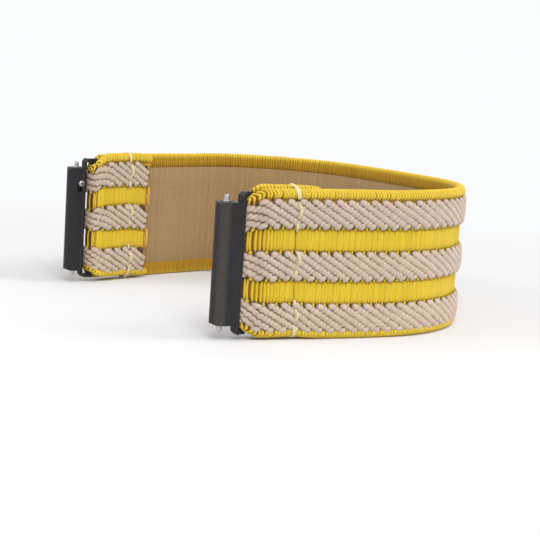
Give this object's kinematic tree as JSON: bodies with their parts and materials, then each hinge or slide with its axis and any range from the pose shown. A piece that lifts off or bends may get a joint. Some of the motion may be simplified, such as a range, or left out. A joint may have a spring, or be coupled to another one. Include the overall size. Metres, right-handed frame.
{
  "type": "elastic watch band",
  "caption": "Loop of ribbed woven elastic, folded and sewn round the bar of a black metal connector at each end, with quick-release spring bars for a watch's lugs.",
  "frame": {"origin": "centre of the bounding box in plan, at the lower edge of the elastic", "axes": "+Z across the width of the band, which stands on its lower edge; +X from the watch side to the far end of the loop; the near side of the picture is at -Y"},
  "size_m": [0.0576, 0.0678, 0.024],
  "materials": {
    "yellow_yarn": "fine yellow weft yarn, tightly packed, soft sheen",
    "beige_yarn": "thick matt beige yarn in raised slanting ridges",
    "beige_backing": "flat fine beige inner face",
    "rubber_thread": "natural rubber threads side by side",
    "sewing_thread": "pale cream-yellow polyester thread",
    "black_metal": "satin black coating on steel",
    "bright_steel": "turned stainless steel",
    "spring_steel": "drawn spring wire"
  },
  "bodies": {
    "band": {"webbing_ground": "yellow_yarn", "rib_upper": "beige_yarn", "rib_middle": "beige_yarn", "rib_lower": "beige_yarn", "elastic_core": "rubber_thread", "backing": "beige_backing", "stitching_near": "sewing_thread", "stitching_far": "sewing_thread"},
    "connector_near": {"connector_near": "black_metal", "strap_bar_near": "bright_steel", "spring_bar_sleeve_near": "bright_steel", "fixed_tip_near": "bright_steel", "spring_near": "spring_steel"},
    "plunger_near": {"plunger_near": "bright_steel", "release_knob_near": "bright_steel"},
    "connector_far": {"connector_far": "black_metal", "strap_bar_far": "bright_steel", "spring_bar_sleeve_far": "bright_steel", "fixed_tip_far": "bright_steel", "spring_far": "spring_steel"},
    "plunger_far": {"plunger_far": "bright_steel", "release_knob_far": "bright_steel"}
  },
  "joints": [
    {"name": "connector_near_swing", "type": "hinge", "parent": "band", "child": "connector_near", "pos_m": [-0.02326, -0.02657, 0.012], "axis": [0, 0, -1], "range_deg": [-30, 85]},
    {"name": "plunger_near_slide", "type": "slide", "parent": "connector_near", "child": "plunger_near", "axis": [0, 0, -1], "range_m": [0, 0.0012], "stiffness_N_per_m": 1500, "springref_m": -0.0007, "deforming": ["spring_near"]},
    {"name": "connector_far_swing", "type": "hinge", "parent": "band", "child": "connector_far", "pos_m": [-0.02326, 0.02657, 0.012], "axis": [0, 0, 1], "range_deg": [-30, 85]},
    {"name": "plunger_far_slide", "type": "slide", "parent": "connector_far", "child": "plunger_far", "axis": [0, 0, -1], "range_m": [0, 0.0012], "stiffness_N_per_m": 1500, "springref_m": -0.0007, "deforming": ["spring_far"]}
  ]
}
